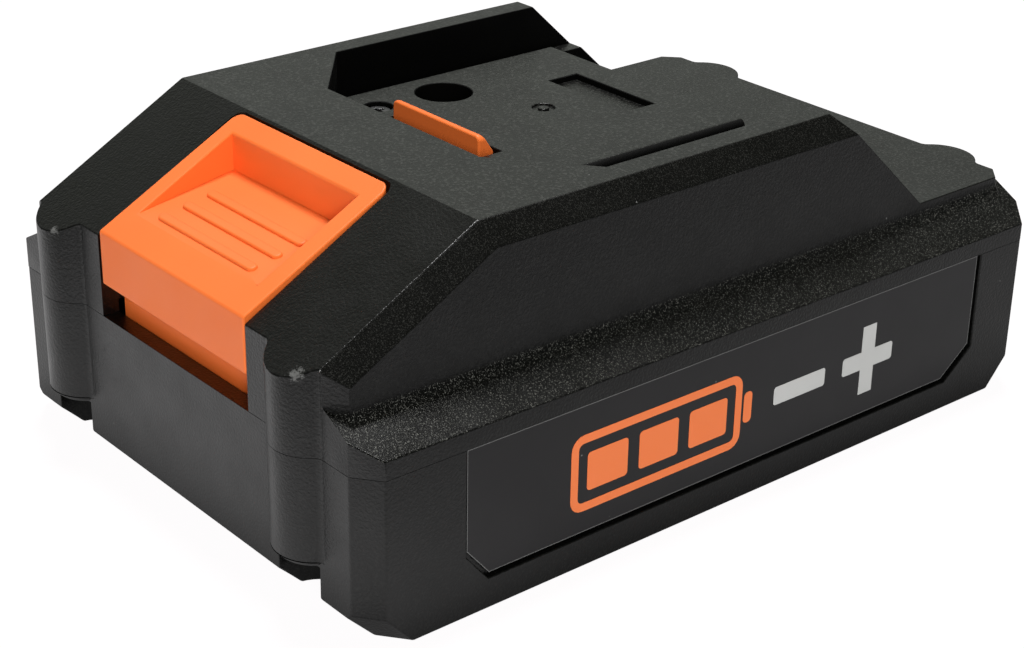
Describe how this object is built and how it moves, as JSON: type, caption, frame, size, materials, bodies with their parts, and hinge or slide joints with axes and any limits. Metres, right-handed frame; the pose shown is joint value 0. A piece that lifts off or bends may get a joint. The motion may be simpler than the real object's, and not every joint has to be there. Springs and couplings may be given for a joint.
{
  "type": "power tool battery pack",
  "caption": "Slide-on battery pack with rail recess, screwed black housing, orange thumb release with sprung tongue, and round cells on a holder with a board inside",
  "frame": {"origin": "centre of the underside, on the plane the pack stands on", "axes": "front with the release button faces -Y, label sides face +X and -X, rail side faces +Z"},
  "size_m": [0.076, 0.1164, 0.0436],
  "materials": {
    "housing_black": "fine moulded grain",
    "latch_orange": "satin",
    "spring_steel": "drawn wire",
    "cell_wrap": "shrink film",
    "holder_grey": "moulded",
    "nickel": "rolled strip",
    "fish_paper": "pressed sheet",
    "foam": "closed-cell foam",
    "board_green": "solder mask",
    "screw_steel": "zinc plated",
    "component_black": "moulded",
    "component_grey": "moulded",
    "can_aluminium": "satin",
    "block_grey": "moulded",
    "terminal_brass": "stamped",
    "label_film": "semi-gloss film"
  },
  "bodies": {
    "pack": {"lower_housing": "housing_black", "upper_housing": "housing_black", "rail_cover": "housing_black", "release_springs": "spring_steel", "cell_1": "cell_wrap", "cell_2": "cell_wrap", "cell_3": "cell_wrap", "cell_4": "cell_wrap", "cell_5": "cell_wrap", "cell_holder_left": "holder_grey", "cell_holder_right": "holder_grey", "straps_left": "nickel", "straps_right": "nickel", "insulation_left": "fish_paper", "insulation_right": "fish_paper", "base_pad": "foam", "circuit_board": "board_green", "board_screws": "screw_steel", "power_transistors": "component_black", "controller_chip": "component_black", "sense_resistor": "component_grey", "capacitors": "can_aluminium", "thermistor": "component_black", "terminal_block": "block_grey", "power_terminals": "terminal_brass", "signal_terminals": "terminal_brass", "label_left": "label_film", "label_right": "label_film", "housing_screws": "screw_steel", "rail_cover_screw": "screw_steel", "rail_cover_small_screw": "screw_steel"},
    "release": {"release_latch": "latch_orange"}
  },
  "joints": [
    {"name": "release_press", "type": "slide", "parent": "pack", "child": "release", "axis": [0, 0, -1], "range_m": [0, 0.0032], "stiffness_N_per_m": 1200, "springref_m": -0.003, "deforming": ["release_springs"]}
  ]
}
